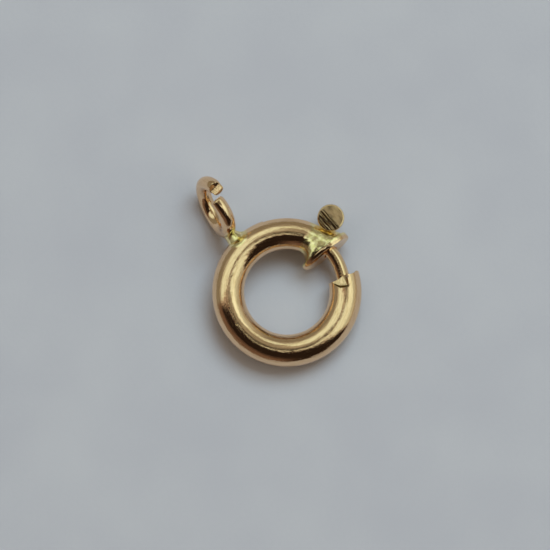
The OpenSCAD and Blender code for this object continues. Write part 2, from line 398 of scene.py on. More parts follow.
def soldered(tree, where, tint, rough, height, solder):
    """Tint, roughness and height of bare gold, with solder over it where its mark says so, and with
    painted shade in the dent and dirt in the seam where the second mark says so."""
    lumps = noise(tree, where, LUMPS_TO_M, 1.5)
    patchy = noise(tree, where, PATCHES_TO_M)
    flowed = fade(tree, frayed(tree, "solder", lumps, 0.5), 0.15, 0.9)
    # the second mark with a frayed edge: painted shade in the dent, dirt in the seam
    shade_and_dirt_share = fade(tree, frayed(tree, "shade_and_dirt", patchy, 0.6), 0.2, 0.8)
    solder_tint = blend_colours(tree, fade(tree, patchy, 0.35, 0.65), *solder)
    tint = blend_colours(tree, flowed, tint, solder_tint)
    # darkens the tint to painted shade in the dent and to dirt in the seam
    tint = blend_colours(tree, shade_and_dirt_share, tint, SHADE_AND_DIRT_COLOUR)
    lumpy = plus(tree, times(tree, lumps, LUMP_HIGH), times(tree, patchy, PATCH_HIGH))
    bare = times(tree, height, calc(tree, "SUBTRACT", 1.0, flowed))
    height = plus(tree, bare, times(tree, flowed, lumpy))
    rough = plus(tree, rough, times(tree, shade_and_dirt_share, SHADE_AND_DIRT_ROUGH), times(tree, flowed, SOLDER_ROUGH))
    return tint, rough, height


# %% A gold material
DIMPLE_SIZE, PIT_DEEP = 0.5, 0.012
LINE_TINT, SCRATCH_TINT, STREAK_TINT = 0.25, 0.35, 0.35
LINE_ROUGH, SCRATCH_ROUGH = 0.04, 0.10


def new_finish(name):
    """An empty material with its Principled shader, and Metallic at 1."""
    finish = bpy.data.materials.new(name)
    finish.use_nodes = True
    tree = finish.node_tree
    shader = tree.nodes["Principled BSDF"]
    shader.inputs["Metallic"].default_value = 1.0
    return finish, tree, shader


def gold(name, colour, deep, shine, spacing, lines_high, waver_high, streaks_high, solder=None):
    """Polished gold: colour where it is bare, deep in lines and pits, shine as roughness. The
    lines' spacing and all heights are in millimetres."""
    finish, tree, shader = new_finish(name)
    where = add(tree, "ShaderNodeTexCoord").outputs["Object"]
    along = add(tree, "ShaderNodeUVMap", uv_map="along_mm").outputs[0]
    wear_ends = {"Map": along, "Line spacing": spacing}
    wear = add(tree, "ShaderNodeGroup", wear_ends, node_tree=wear_group).outputs
    dimple_ends = {"Place": where, "Size": DIMPLE_SIZE}
    dimples = add(tree, "ShaderNodeGroup", dimple_ends, node_tree=dimple_group).outputs
    worn = plus(
        tree,
        times(tree, wear["Lines"], LINE_TINT),
        times(tree, wear["Scratches"], SCRATCH_TINT),
        fade(tree, wear["Streaks"], 0.45, 0.7, 0.0, STREAK_TINT),
    )
    worn = calc(tree, "MAXIMUM", worn, dimples["Pits"])
    tint = blend_colours(tree, worn, colour, deep)
    scratched = times(tree, wear["Scratches"], SCRATCH_ROUGH)
    rough = plus(tree, times(tree, wear["Lines"], LINE_ROUGH), shine, scratched)
    height = plus(
        tree,
        times(tree, wear["Height"], lines_high),
        times(tree, dimples["Waver"], waver_high),
        times(tree, wear["Streaks"], streaks_high),
    )
    height = calc(tree, "SUBTRACT", height, times(tree, dimples["Pits"], PIT_DEEP))
    if solder:
        tint, rough, height = soldered(tree, where, tint, rough, height, solder)
    bump = add(tree, "ShaderNodeBump", {"Height": height, "Strength": 1.0, "Distance": MM})
    feed(tree, shader.inputs["Base Color"], tint)
    feed(tree, shader.inputs["Roughness"], rough)
    feed(tree, shader.inputs["Normal"], bump.outputs[0])
    return finish


rose_gold = gold(
    "polished_rose_gold",
    colour=(0.93, 0.65, 0.40, 1),
    deep=(0.66, 0.39, 0.17, 1),
    shine=0.08,
    spacing=0.06,
    lines_high=0.0012,
    waver_high=0.006,
    streaks_high=0.012,
    solder=((1.0, 0.85, 0.48, 1), (0.86, 0.73, 0.34, 1)),
)
wire_gold = gold(
    "drawn_wire_gold",
    colour=(0.92, 0.66, 0.39, 1),
    deep=(0.62, 0.38, 0.17, 1),
    shine=0.09,
    spacing=0.05,
    lines_high=0.0012,
    waver_high=0.003,
    streaks_high=0.006,
)
print("finishes", rose_gold.name, wire_gold.name)

# %% [markdown]
# ## The ring: one wall from the guard plate to the mouth
#
# The ring, its flared collar and the guard plate are soldered into one body, so they are one
# surface here too. A closed profile is carried round the tube: it starts in the bolt's hole,
# comes out over the plate's face and rim, runs back along the collar and the outside of the tube
# to the open mouth, turns over the rim there, and goes back along the inside. At each point of
# that profile there is one closed row of points, a circle or an oval.

# %% Sizes of the ring
MEAN_R, TUBE_R, BORE_R, HOLE_R = 3.92, 1.08, 0.83, 0.51
PLATE_ANGLE, PLATE_R, PLATE_SLANT, PLATE_LEAN = 6.1, 3.72, 6.6, 12.0
PLATE_HALF_LONG, PLATE_HALF_SHORT = 1.83, 1.25
FLARE_END = 33.0
HOLLOW_START = PLATE_ANGLE + 5
MOUTH_ANGLE, MOUTH_SLANT = 334.6, 9.0
SLOT_START, SLOT_END, SLOT_HALF = 14.0, 68.8, 0.39
COLS, SLOT_COLS = 160, 8


def section_angles(edge_angle):
    """Angles round a section, counted from its outer side, with two of them on the slot's edges:
    the first SLOT_COLS steps share out the slot's half, and the others share out the rest
    evenly."""
    edge_angle = np.asarray(edge_angle, float)[..., None]
    step = np.arange(COLS)
    step = np.where(step > COLS // 2, step - COLS, step)
    size = np.abs(step)
    inside = edge_angle * size / SLOT_COLS
    outside = edge_angle + (180 - edge_angle) * (size - SLOT_COLS) / (COLS // 2 - SLOT_COLS)
    return np.radians(np.where(size <= SLOT_COLS, inside, outside) * np.sign(step))


def slot_angle(half_height):
    """The angle at which a section of this half height reaches the slot's edge."""
    return np.degrees(np.arcsin(SLOT_HALF / np.asarray(half_height, float)))


print("slot edge at", round(float(slot_angle(TUBE_R)), 1), "degrees round the tube")

# %% [markdown]
# The plate is a small oval disc with the bolt's hole in it, soldered on a little askew. Between
# the disc and the tube the solder has run into a flared collar. A power curve gives its hollow
# shape. On the upper, inner and lower sides the solder has filled the corner behind the plate, and
# on the upper inner side it has set in a low swell.

# %% The collar
FLARE_CURVE, COLLAR_IN = 2.2, 0.06
BACK_AT, BACK_SLANT = 0.11, 0.065
BARE_TO, FILLED_FROM = 60.0, 90.0
SWELL_HIGH, SWELL_AT, SWELL_LONG, SWELL_ROUND, SWELL_WIDE = 0.15, 0.30, 0.34, 120.0, 42.0


def oval_rows(s, half_long, half_short, forward=0.0):
    """Ovals along the collar: s is 0 at the plate and 1 at the tube. The oval turns from the
    plate's slant and lean to square across the tube, and its middle moves from the plate's to the
    tube's. The half sizes and the way forward may differ from row to row and round each oval."""
    half_long, half_short, forward = (
        np.broadcast_to(np.reshape(size, (len(s) if np.size(size) > 1 else 1, -1)), (len(s), COLS))
        for size in (half_long, half_short, forward)
    )
    angle = PLATE_ANGLE + (FLARE_END - PLATE_ANGLE) * s
    out = across(angle - PLATE_SLANT * (1 - s))
    on = across(angle - PLATE_SLANT * (1 - s) + 90)
    lean = np.radians(PLATE_LEAN * (1 - s))[:, None]
    up = np.array([0, 0, 1]) * np.cos(lean) + on * np.sin(lean)
    back = np.cross(up, out)
    middle = ring_xyz(MEAN_R + (PLATE_R - MEAN_R) * (1 - s), angle, 0.0)
    turn = section_angles(slot_angle(half_short[:, 0]))
    return (
        middle[:, None]
        - back[:, None] * forward[..., None]
        + out[:, None] * (half_long * np.cos(turn))[..., None]
        + up[:, None] * (half_short * np.sin(turn))[..., None]
    )


def collar_halves(s, turn):
    """Half sizes of the oval, which shrink from the plate's to the tube's as (1 - s) to a power.
    Where the corner is filled, the oval keeps the plate's size up to the plate's back, and s
    counts from there. The plate's back lies at a greater s on the inner side, because the plate is
    slanted."""
    plate_back = BACK_AT - BACK_SLANT * np.cos(turn)
    full = smooth(np.abs(turn), np.radians(BARE_TO), np.radians(FILLED_FROM))
    late = np.clip((s - plate_back) / (1 - plate_back), 0, None)
    near = (1 - s + full * (s - late)) ** FLARE_CURVE
    return (
        TUBE_R + (PLATE_HALF_LONG - COLLAR_IN - TUBE_R) * near,
        TUBE_R + (PLATE_HALF_SHORT - COLLAR_IN - TUBE_R) * near,
    )


def solder_swell(s, turn):
    """How proud the solder stands: a bell curve of s times one of turn, which ends at the tube."""
    off_along = (s - SWELL_AT) / SWELL_LONG
    off_round = (np.degrees(turn) - SWELL_ROUND) / SWELL_WIDE
    return SWELL_HIGH * np.exp(-(off_along**2) - off_round**2) * smooth(s, 1.0, 0.8)


# %% [markdown]
# The mouth is sawn off at a slant and then crimped: the corner of a tool has pressed a dent into
# the wall there, so that the bolt is led into the tube. The tool's corner has a floor, a steep
# back and a side in two slopes. Its underside is described by a height over the ring's plane, the
# greatest of its sides' heights, and the points of the wall that lie higher are pushed down to it.

# %% The tool that has made the dent
DENT_ANGLE, DENT_TURN, DENT_HEIGHT, DENT_REACH = MOUTH_ANGLE - 8.0, -4.0, 0.88, 1.6
DENT_FALL, FLOOR_SLOPE = 0.27, 0.09
CREASE_IN, CREASE_BEND, BACK_SLOPE, BACK_GROWS = -0.36, 0.4, 0.62, 1.6
SIDE_AT, SHELF_SLOPE, SHELF_SKEW, SIDE_SLOPE, SIDE_SKEW = 0.13, 0.45, 0.50, 1.5, 0.26
TOOL_SOFT, LEAST_PUSH = 0.01, 1e-4


def tool_sides(points, deeper):
    """Heights of the tool's floor, back, shelf and side. u goes out across the tube and v on
    towards the mouth, both from the crease's middle. With deeper the tool is that much lower and
    larger."""
    turn = DENT_ANGLE + DENT_TURN
    away = points - ring_xyz(MEAN_R, DENT_ANGLE, 0.0)
    u, v = away @ across(turn) - deeper * 0.8, away @ across(turn + 90) + deeper * 0.7
    floor = DENT_HEIGHT - deeper + FLOOR_SLOPE * u - DENT_FALL * v
    crease = CREASE_BEND * np.clip(CREASE_IN - u, 0, None)
    steeper = np.exp(BACK_GROWS * np.clip(u - CREASE_IN, -0.6, 0.5))
    back = floor + (DENT_FALL + BACK_SLOPE * steeper) * (crease - v)
    shelf = floor + SHELF_SLOPE * (u - SIDE_AT + SHELF_SKEW * v)
    side = floor + SIDE_SLOPE * (u - SIDE_AT + SIDE_SKEW * v)
    return floor, back, shelf, side


def from_mouth(points):
    """Level distance from the middle of the mouth."""
    return np.linalg.norm(points[..., :2] - ring_xyz(MEAN_R, MOUTH_ANGLE, 0.0)[:2], axis=-1)


def pressed(points, deeper):
    """Pushes the wall's points near the mouth down to the tool. The push is the soft maximum of 0
    and the height over the tool, half the sum of it and its length with TOOL_SOFT, so the edge is
    round."""
    above = points[..., 2] - np.max(tool_sides(points, deeper), axis=0)
    push = 0.5 * (above + np.sqrt(above * above + TOOL_SOFT**2)) - 0.5 * TOOL_SOFT
    near = (from_mouth(points) < DENT_REACH) & (points[..., 2] > 0) & (push > LEAST_PUSH)
    return points - np.array([0, 0, 1.0]) * np.where(near, push, 0.0)[..., None]


# %% Rows of the tube, with the slanted mouth
MOUTH_TURNS = 12.0
BURRS = ((1.4, 4.0, 0.38), (0.8, 4.83, 0.09))


def mouth_end(r, z):
    """Where the mouth's cut crosses the circle of radius r: its angle, by the law of sines. On the
    upper side the crimping has pressed the edge out a little, by degrees, at a radius, over a
    width."""
    across_cut = np.arcsin(-MEAN_R / r * np.sin(np.radians(MOUTH_SLANT)))
    burr = sum(out * np.exp(-(((r - at) / wide) ** 2)) for out, at, wide in BURRS)
    return MOUTH_ANGLE + MOUTH_SLANT + np.degrees(across_cut) + burr * smooth(z, 0.1, 0.5)


def tube_rows(angle, radius, deeper, back=0.0):
    """Circles of the tube at the angles given, which turn to the mouth's slant over its last
    part."""
    angle = np.asarray(angle, float)[:, None]
    turn = section_angles(np.full(angle.shape[0], slot_angle(radius)))
    r, z = MEAN_R + radius * np.cos(turn), radius * np.sin(turn)
    near_mouth = smooth(angle, MOUTH_ANGLE - MOUTH_TURNS, MOUTH_ANGLE)
    at = angle + near_mouth * (mouth_end(r, z) - MOUTH_ANGLE) - back
    return pressed(ring_xyz(r, at, z), deeper)


# %% Where the rows of the wall lie
FINE_FROM, COLLAR_FROM, SAME = MOUTH_ANGLE - 14, 0.10, 1e-6
wall_angles = np.concatenate(
    [
        np.linspace(HOLLOW_START, SLOT_START, 5)[:-1],
        np.linspace(SLOT_START, FLARE_END, 30)[:-1],
        np.linspace(FLARE_END, SLOT_END, 40),
        np.linspace(SLOT_END, FINE_FROM, 130)[1:],
        np.linspace(FINE_FROM, MOUTH_ANGLE, 76)[1:],
    ]
)
on_collar = wall_angles[wall_angles < FLARE_END - SAME]
on_tube = wall_angles[wall_angles > FLARE_END - SAME]
collar_s = (on_collar - PLATE_ANGLE) / (FLARE_END - PLATE_ANGLE)
plate_s = np.linspace(COLLAR_FROM, collar_s[0], 8)[:-1]
print(len(on_collar) + len(plate_s), "rows on the collar,", len(on_tube), "on the tube")

# %% [markdown]
# The plate's rim is a quarter circle at its front and a small one at its back. On the inner half
# it is worn much rounder than on the outer half, so the sizes of the front one go from one to the
# other round the plate. The hole's middle lies where the bolt's circle comes through the leaning
# face, not in the middle of the oval.

# %% The plate's rim and face
PLATE_FRONT, PLATE_BACK = 0.25, 0.20
OUTER_ROUND, INNER_IN, INNER_ON, BACK_ROUND = 0.10, 0.45, 0.29, 0.04
HOLE_EDGE, HOLE_NUDGE, FACE_ROWS, FRONT_STEPS, BACK_STEPS = HOLE_R + 0.03, 0.02, 11, 12, 5

rim_turn = section_angles(slot_angle(PLATE_HALF_SHORT))[None, :]
inner_half = smooth(np.abs(rim_turn), np.radians(72), np.radians(84))
round_in = OUTER_ROUND + (INNER_IN - OUTER_ROUND) * inner_half
round_on = OUTER_ROUND + (INNER_ON - OUTER_ROUND) * inner_half
front_bend = np.radians(np.linspace(0, 90, FRONT_STEPS))[:, None]
back_bend = np.radians(np.linspace(0, 90, BACK_STEPS))[:, None] + 0 * rim_turn
front_in, front_on = round_in * (1 - np.sin(front_bend)), round_on * (1 - np.cos(front_bend))
rim_inset = np.concatenate([front_in, BACK_ROUND * (1 - np.cos(back_bend))])
rim_back = BACK_ROUND * (1 - np.sin(back_bend)) - PLATE_BACK
rim_forward = np.concatenate([PLATE_FRONT - front_on, rim_back])
face_share = np.linspace(0, 1, FACE_ROWS + 1)[:-1]
face_long = HOLE_EDGE + (PLATE_HALF_LONG - round_in - HOLE_EDGE) * face_share[:, None]
face_short = HOLE_EDGE + (PLATE_HALF_SHORT - round_in - HOLE_EDGE) * face_share[:, None]

plate_out = across(PLATE_ANGLE - PLATE_SLANT)
plate_on = across(PLATE_ANGLE - PLATE_SLANT + 90)
lean = np.radians(PLATE_LEAN)
plate_up = np.array([0, 0, np.cos(lean)]) + plate_on * np.sin(lean)
plate_middle = ring_xyz(PLATE_R, PLATE_ANGLE, 0.0)
on_reach = plate_middle @ plate_on - PLATE_FRONT / np.cos(lean)
hole_out = np.sqrt(MEAN_R**2 - on_reach**2) - plate_middle @ plate_out + HOLE_NUDGE
hole_shift = plate_out * hole_out - plate_up * PLATE_FRONT * np.tan(lean)
print("the hole's middle is off the plate's by", round(float(hole_out), 3), "mm")


def plate_rows(half_long, half_short, forward, centred_on_hole):
    """Ovals of the plate. Those near the hole are moved out to the hole's middle."""
    rows = oval_rows(np.zeros(len(half_long)), half_long, half_short, forward)
    return rows + hole_shift * centred_on_hole[:, None, None]


# %% [markdown]
# A few strokes of a file have left a flat on the rim's outer shoulder. It is a plane: its normal
# leans out from the ring and a little forward, the way the plate faces, and the rim's points that
# lie over the plane go down to it.

# %% The filed flat
FILED_OUT, FILED_FORWARD, FILED_DEPTH = 22.5, 6.0, 0.036
out_turn, forward_turn = np.radians(FILED_OUT), np.radians(FILED_FORWARD)
filed_up = np.array([0, 0, np.cos(forward_turn)]) - plate_on * np.sin(forward_turn)
filed_square = filed_up * np.cos(out_turn) + plate_out * np.sin(out_turn)
print("the filed flat faces", np.round(filed_square, 2).tolist())


def filed(points):
    """The height of a point over the plane is its dot product with the normal, less that of the
    highest point, plus FILED_DEPTH. Where it is above zero, the point goes down by it."""
    height = points @ filed_square
    over = height - (height.max() - FILED_DEPTH)
    return points - filed_square * np.clip(over, 0, None)[..., None]


# %% The ring's whole wall
WALL, DENT_WALL = TUBE_R - BORE_R, 0.70
LIP = ((TUBE_R - 0.03, -0.15), (TUBE_R - 0.08, -0.2), (BORE_R + 0.04, -0.1))

hole_angles = np.linspace(HOLLOW_START, PLATE_ANGLE - 1.6, 6)
hole_rows = tube_rows(hole_angles, HOLE_R, 0.0)
face_rows = plate_rows(face_long, face_short, np.full(FACE_ROWS, PLATE_FRONT), 1 - face_share)
rim_halves = PLATE_HALF_LONG - rim_inset, PLATE_HALF_SHORT - rim_inset
rim_rows = filed(plate_rows(*rim_halves, rim_forward, np.zeros(len(rim_inset))))
all_s = np.concatenate([plate_s, collar_s])
collar_long, collar_short = collar_halves(all_s[:, None], rim_turn)
swell = solder_swell(all_s[:, None], rim_turn)
collar_rows = oval_rows(all_s, collar_long + swell, collar_short + swell)
outer_rows = tube_rows(on_tube, TUBE_R, 0.0)
lip_rows = np.concatenate(
    [tube_rows([MOUTH_ANGLE], r, (TUBE_R - r) * DENT_WALL, back) for r, back in LIP]
)
inner_rows = tube_rows(wall_angles[::-1], BORE_R, WALL * DENT_WALL)
parts = [hole_rows, face_rows, rim_rows, collar_rows, outer_rows, lip_rows, inner_rows]
rows = np.concatenate(parts)
starts = np.cumsum([0] + [len(part) for part in parts])
FACE_START, RIM_START, COLLAR_START = starts[1:4]
face_end = RIM_START + FRONT_STEPS
print("the wall has", rows.shape[0], "rows of", rows.shape[1], "points")

# %% [markdown]
# The knob's post comes out through a slot in the tube's outer side. The columns of points were
# shared out so that two of them follow the slot's edges, so the slot is made by leaving out the
# faces between them, in the outer wall and in the inner one, and by closing the cut edges.

# %% Leave out the slot and close its sides
outer_first = COLLAR_START + len(plate_s)
inner_last = starts[-1] - 1
slot_from, slot_to = np.searchsorted(wall_angles, [SLOT_START - SAME, SLOT_END - SAME])
outer_slot = outer_first + np.arange(slot_from, slot_to + 1)
inner_slot = inner_last - np.arange(slot_from, slot_to + 1)
all_faces = grid_faces(len(rows), COLS, rows_close=True)
slot_cols = np.arange(-SLOT_COLS, SLOT_COLS)
keep = np.ones(all_faces.shape[:2], bool)
keep[np.ix_(outer_slot[:-1], slot_cols % COLS)] = False
keep[np.ix_(inner_slot[1:], slot_cols % COLS)] = False


def slot_wall(at, col, next_at, next_col):
    """Faces from the outer wall's edge to the inner one's, between two places along the slot."""
    edges = ((outer_slot[at], col), (outer_slot[next_at], next_col))
    edges += ((inner_slot[next_at], next_col), (inner_slot[at], col))
    return np.stack([row * COLS + column % COLS for row, column in edges], axis=-1)


ats = np.arange(len(outer_slot) - 1)
slot_walls = [slot_wall(ats, col, ats + 1, col) for col in (SLOT_COLS, -SLOT_COLS)]
slot_walls += [slot_wall(end, slot_cols, end, slot_cols + 1) for end in (0, -1)]
ring_faces = np.concatenate([all_faces[keep]] + slot_walls)
print("slot closed by", sum(len(wall) for wall in slot_walls), "faces")

# %% [markdown]
# Two marks tell the ring's material what lies where. Solder covers the collar up to a wavy edge
# and a patch at the loop's foot. Shade is painted dark into the dent, most on its steep sides, and
# dirt is left as a dark line in the seam behind the plate's rim. The map runs round the tube, but
# the plate's face is flat and brushed straight, so its corners get a flat map instead.

# %% Marks of the ring
SOLDER_FULL, SOLDER_ENDS, EDGE_WAVE = 25, 37, 2.5
FOOT_ANGLE, FOOT_ROUND, FOOT_R, FOOT_OUT = 92.5, 10.5, 5.05, 0.8
SEAM_DIRT, SEAM_MIDDLE, LEAST_PAINTED_SHADE = 0.9, 55, 0.38


def painted_shade_in_dent(points):
    """Share of painted shade in the dent: 1 on its back, half of that on its side, and a least
    share on its floor. The open wall, which lies lower than the tool, has none."""
    floor, back, shelf, side = tool_sides(points, 0.0)
    tool = np.max([floor, back, shelf, side], axis=0)
    steep = np.maximum(smooth(back - floor, 0.002, 0.012), 0.5 * smooth(side - floor, 0.03, 0.08))
    touched = smooth(points[..., 2] - tool, -0.02, -0.006)
    near = (from_mouth(points) < DENT_REACH) & (points[..., 2] > 0.3)
    return np.where(near, np.maximum(steep, LEAST_PAINTED_SHADE) * touched, 0.0)


row_angle = np.concatenate(
    [
        hole_angles,
        np.full(len(face_rows), PLATE_ANGLE - 3),
        np.full(len(rim_rows), PLATE_ANGLE),
        PLATE_ANGLE + (FLARE_END - PLATE_ANGLE) * plate_s,
        on_collar,
        on_tube,
        np.full(len(lip_rows), MOUTH_ANGLE),
        wall_angles[::-1],
    ]
)
point_angle = np.degrees(np.arctan2(rows[..., 1], rows[..., 0])) % 360
point_r = np.hypot(rows[..., 0], rows[..., 1])
wavy_angle = row_angle[:, None] + EDGE_WAVE * np.sin(3 * point_r + 1)
flooded = smooth(wavy_angle, SOLDER_ENDS, SOLDER_FULL)
flooded[:face_end] = 0.0
foot_far = np.hypot((point_angle - FOOT_ANGLE) / FOOT_ROUND, (point_r - FOOT_R) / FOOT_OUT)
solder_mark = np.maximum(flooded, smooth(foot_far, 1.15, 0.6))
# shade painted dark into the dent, most on its steep sides
shade_and_dirt = painted_shade_in_dent(rows)
seam_off = np.abs(np.degrees(rim_turn) - SEAM_MIDDLE)
shade_and_dirt[COLLAR_START - 1 : COLLAR_START + 1] = SEAM_DIRT * smooth(seam_off, 45, 30)
ring_marks = {"solder": solder_mark, "shade_and_dirt": shade_and_dirt}
print("solder on", (solder_mark > 0.5).sum(), "points, dirt on", (shade_and_dirt > 0.5).sum())

# %% The ring's map, and the finished ring
along = np.radians(row_angle)[:, None] * MEAN_R
ring_uv = around_map(ring_faces, along, steps_round(COLS) * TUBE_R, 2 * np.pi * TUBE_R)
flat_map = np.stack([rows @ plate_out, rows[..., 2]], axis=-1).reshape(-1, 2)
face_row = ring_faces // COLS
on_face = (face_row.min(axis=1) >= FACE_START) & (face_row.max(axis=1) < face_end)
ring_uv = np.where(np.repeat(on_face, 4)[:, None], flat_map[ring_faces].reshape(-1, 2), ring_uv)
ring_shell = make_piece(
    "ring_shell", rows, ring_faces, rose_gold, "ring", ring_uv, ring_marks
)
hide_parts("ring_body")

# %% [markdown]
# Inside the tube the spring needs something to push against. A short plug across the bore serves
# as its stop. It can't be seen from outside, so it is a plain piece of wire.

# %% The stop for the spring
STOP_FROM, STOP_TO = 158.5, 165.5
stop_line = ring_xyz(MEAN_R, np.linspace(STOP_FROM, STOP_TO, 9), 0.0)
stop_points, _ = tube_along(stop_line, BORE_R + 0.01, 48, round_ends=(0.02, 0.02))
stop_faces = grid_faces(*stop_points.shape[:2])
make_piece("spring_stop", stop_points, stop_faces, wire_gold, "ring")

# %% [markdown]
# ## The end loop
#
# The loop is a piece of thick wire bent round, cut through on its upper side, and soldered on by
# its foot. The cutting has pushed the two ends sideways, one each way. Its centre line is a
# circle in a plane that leans, plus that sideways push near the ends.

# %% The loop's centre line
LOOP_R, LOOP_DIRECTION, LOOP_LEAN, LOOP_MIDDLE_R, LOOP_WIRE_R = 1.735, 76.0, 15.0, 7.38, 0.485
LOOP_FROM, LOOP_TO, LOOP_ROWS, LOOP_COLS = 82, 419, 260, 64
LATE_FROM, LATE_PUSH, EARLY_TO, EARLY_PUSH = 327, 0.157, 132, 0.27
THIN_FROM, THIN_BY, LOOP_SOLDER_R = 397, 0.20, 5.5

loop_lean = np.radians(LOOP_LEAN)
loop_out, loop_across = across(LOOP_DIRECTION), across(LOOP_DIRECTION + 90)
loop_up = np.array([0, 0, np.cos(loop_lean)]) - loop_across * np.sin(loop_lean)
loop_side = np.cross(loop_out, loop_up)
loop_middle = ring_xyz(LOOP_MIDDLE_R, 90.0, 0.0)


def loop_line(turn):
    """A circle, pushed to one side over its last part and to the other at its start. The push grows
    as 1 - cos of the angle past the place where it begins."""
    spoke_turn = np.radians(turn)[:, None]
    late = 1 - np.cos(np.radians(np.clip(turn - LATE_FROM, 0, None)))
    early = 1 - np.cos(np.radians(np.clip(EARLY_TO - turn, 0, None)))
    push = LOOP_R * (late * LATE_PUSH - early * EARLY_PUSH)
    spoke = loop_out * np.cos(spoke_turn) + loop_up * np.sin(spoke_turn)
    return loop_middle + LOOP_R * spoke + loop_side * push[:, None]


loop_turn = np.linspace(LOOP_FROM, LOOP_TO, LOOP_ROWS)
loop_size = LOOP_WIRE_R * (1 - THIN_BY * smooth(loop_turn, THIN_FROM, LOOP_TO))
loop_points, loop_centres = tube_along(
    loop_line(loop_turn), loop_size, LOOP_COLS, up=loop_side, round_ends=(0.35, 0.10)
)
cap_rows = (len(loop_points) - LOOP_ROWS) // 2
print("the loop's line is", round(float(way_along(loop_centres)[-1]), 2), "mm long")

# %% [markdown]
# The pliers that closed the loop have nipped its upper end: there is a nearly level flat on top of
# it, and a small step where the jaw's edge stood. As with the filed plate, the points that lie
# over a plane go down to it. Here two planes count, and the higher one holds.

# %% The nipped end
NIP_ROW, NIP_DEEP, NIP_LONG, NIP_RISE = -12, 0.33, 0.05, 0.9
NIP_TILT, NIP_TOWARDS, NIP_FROM = 7.0, 140.0, 380
end_line = loop_line(np.array([LOOP_TO - 2.0, LOOP_TO]))
nip_onwards = (end_line[1] - end_line[0]) * np.array([1, 1, 0])
nip_onwards = nip_onwards / np.linalg.norm(nip_onwards)
nip_at = loop_points[NIP_ROW][loop_points[NIP_ROW][:, 2].argmax()]


def nipped(points, row_turn):
    """The flat falls by NIP_TILT towards NIP_TOWARDS, and the step rises by NIP_RISE for each mm
    back from its foot. Points over both go straight down to the higher one."""
    back = (nip_at - points) @ nip_onwards
    fall = (points - nip_at) @ across(NIP_TOWARDS) * np.tan(np.radians(NIP_TILT))
    flat = nip_at[2] - NIP_DEEP - fall
    step = flat + NIP_RISE * (back - NIP_LONG)
    over = np.clip(points[..., 2] - np.maximum(flat, step), 0, None)
    over = np.where(row_turn[:, None] > NIP_FROM, over, 0.0)
    return points - np.array([0, 0, 1.0]) * over[..., None]


loop_points = nipped(loop_points, np.pad(loop_turn, cap_rows, mode="edge"))
loop_faces = grid_faces(*loop_points.shape[:2])
spoke_long = np.linalg.norm(loop_points - loop_centres[:, None], axis=-1)
loop_round = steps_round(LOOP_COLS)
on_end = np.pad(np.zeros(LOOP_ROWS, bool), cap_rows, constant_values=True)[:, None]
loop_uv = around_map(
    loop_faces,
    way_along(loop_centres)[:, None] + np.where(on_end, spoke_long * np.cos(loop_round), 0.0),
    np.where(on_end, 1.5 + spoke_long * np.sin(loop_round), loop_round * LOOP_WIRE_R),
    2 * np.pi * LOOP_WIRE_R,
)
from_ring = np.hypot(loop_points[..., 0], loop_points[..., 1]) - LOOP_SOLDER_R
loop_marks = {"solder": smooth(from_ring, 0.25, -0.15)}
make_piece(
    "end_loop", loop_points, loop_faces, rose_gold, "ring", loop_uv, loop_marks
)

# %% [markdown]
# Solder wets both metals and draws itself into the corner between them, so its surface is hollow,
# like a saddle. Each line of the fillet runs from a point on the tube to a point on the wire, and
# is bent towards the corner as a curve with three control points.

# %% The solder fillet at the loop's foot
FILLET_COLS, FILLET_ROWS, CORNER_SHARE = 72, 22, 0.75
FILLET_ANGLE, FILLET_ALONG, FILLET_UP, FILLET_ROUND, FOOT_IN = 92.6, 8.6, 4, 50, 0.03
NECK_TURN, NECK_WIDE, NECK_HIGH, NECK_IN = 186.0, 0.42, 0.62, 0.05
fillet_out = across(93.0)

turn = steps_round(FILLET_COLS)
foot_angle = FILLET_ANGLE + FILLET_ALONG * np.cos(turn)
foot_round, foot_r = np.radians(FILLET_UP + FILLET_ROUND * np.sin(turn)), TUBE_R - FOOT_IN
foot = ring_xyz(MEAN_R + foot_r * np.cos(foot_round), foot_angle, foot_r * np.sin(foot_round))
neck = (
    loop_line(np.array([NECK_TURN]))[0]
    + loop_across * (NECK_WIDE * np.cos(turn))[:, None]
    + loop_up * (NECK_HIGH * np.sin(turn))[:, None]
    - fillet_out * NECK_IN
)
corner = foot * (1 - CORNER_SHARE) + neck * CORNER_SHARE
corner = corner - fillet_out * ((corner - foot) @ fillet_out * CORNER_SHARE)[:, None]
s = np.linspace(0, 1, FILLET_ROWS)[:, None, None]
fillet = (1 - s) ** 2 * foot + 2 * s * (1 - s) * corner + s**2 * neck
foot_middle = foot.mean(axis=0) - fillet_out * 0.1
ends = [np.broadcast_to(end, (1, FILLET_COLS, 3)) for end in (foot_middle, neck.mean(axis=0))]
fillet_rows = np.concatenate([ends[0], fillet, ends[1]])
fillet_faces = grid_faces(*fillet_rows.shape[:2])
make_piece(
    "loop_fillet",
    fillet_rows,
    fillet_faces,
    rose_gold,
    "ring",
    around_map(fillet_faces, fillet_rows[..., 2], fillet_rows[..., 0] + 5, 40.0),
    {"solder": np.ones(fillet_rows.shape[:2])},
)

# %% [markdown]
# ## The bolt
#
# The bolt is a piece of drawn wire bent to the ring's curve. Bending it by hand left it very
# slightly off the circle, and the drawing die left fine ticks across it. Its hidden end is a wider
# heel that the spring pushes on.

# %% The bolt's wire
BOLT_R, BOLT_TIP, BOLT_END, HEEL_R = 0.45, -36.0, 33.25, 0.71
BOW, BOW_MIDDLE, BOW_WAVES, TICK_HIGH, TICK_LONG = 0.05, 3, 6, 0.0005, 0.2
BOLT_ROWS, BOLT_COLS, HEEL_FROM, HEEL_TO = 420, 48, 30.4, 30.8

